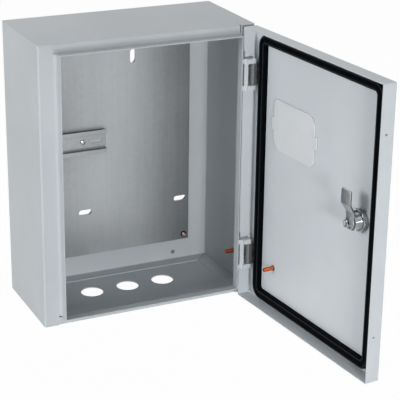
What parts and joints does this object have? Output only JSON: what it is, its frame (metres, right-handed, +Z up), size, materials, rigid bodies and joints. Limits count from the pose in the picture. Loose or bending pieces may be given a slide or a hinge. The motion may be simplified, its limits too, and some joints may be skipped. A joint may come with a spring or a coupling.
{
  "type": "electrical panel cabinet",
  "caption": "Wall-hung sheet-steel cabinet for a meter and breakers, with a hinged tray door that has a window pane, a rim gasket and a quarter-turn cam lock.",
  "frame": {"origin": "centre of the back face, on the wall", "axes": "+Y into the wall, -Y out of the front, +X to the right seen from the front, +Z up"},
  "size_m": [0.3375, 0.4624, 0.395],
  "materials": {
    "cabinet_paint": "light grey powder coat",
    "door_paint": "light grey powder coat",
    "hinge_coat": "light grey powder coat",
    "hinge_zinc": "zinc plated",
    "plate_zinc": "galvanised",
    "rail_zinc": "galvanised",
    "stud_copper": "copper plated",
    "fixing_steel": "zinc plated",
    "black_plastic": "black",
    "plug_plastic": "grey",
    "gasket_rubber": "black foam rubber",
    "seal_rubber": "black",
    "pane_plastic": "milky clear",
    "lock_chrome": "bright",
    "lock_zinc": "zinc plated"
  },
  "bodies": {
    "cabinet": {"body_wrap": "cabinet_paint", "roof_panel": "cabinet_paint", "floor_panel": "cabinet_paint", "mounting_plate": "plate_zinc", "plate_studs": "stud_copper", "plate_spacers": "fixing_steel", "plate_washers": "black_plastic", "top_hat_rail": "rail_zinc", "rail_rivets": "fixing_steel", "body_earth_stud": "stud_copper", "back_wall_plug": "plug_plastic", "upper_body_leaf": "hinge_coat", "lower_body_leaf": "hinge_coat", "upper_pin": "fixing_steel", "lower_pin": "fixing_steel", "body_leaf_rivets": "fixing_steel"},
    "door": {"door_panel": "door_paint", "door_gasket": "gasket_rubber", "door_earth_stud": "stud_copper", "window_pane": "pane_plastic", "window_seal": "seal_rubber", "upper_door_leaf": "hinge_zinc", "lower_door_leaf": "hinge_zinc", "door_leaf_rivets": "fixing_steel", "lock_housing": "lock_chrome", "lock_seal": "seal_rubber", "lock_washer": "lock_zinc", "lock_nut": "lock_chrome"},
    "lock_rotor": {"lock_core": "lock_chrome", "lock_cam": "lock_zinc", "cam_washer": "lock_zinc", "cam_bolt": "lock_zinc"}
  },
  "joints": [
    {"name": "door_swing", "type": "hinge", "parent": "cabinet", "child": "door", "pos_m": [0.1465, -0.161, 0], "axis": [0, 0, 1], "range_deg": [-95, 20]},
    {"name": "lock_turn", "type": "hinge", "parent": "door", "child": "lock_rotor", "pos_m": [0.17602, -0.40887, 0.005], "axis": [0.9962, 0.0872, 0], "range_deg": [0, 90]}
  ]
}
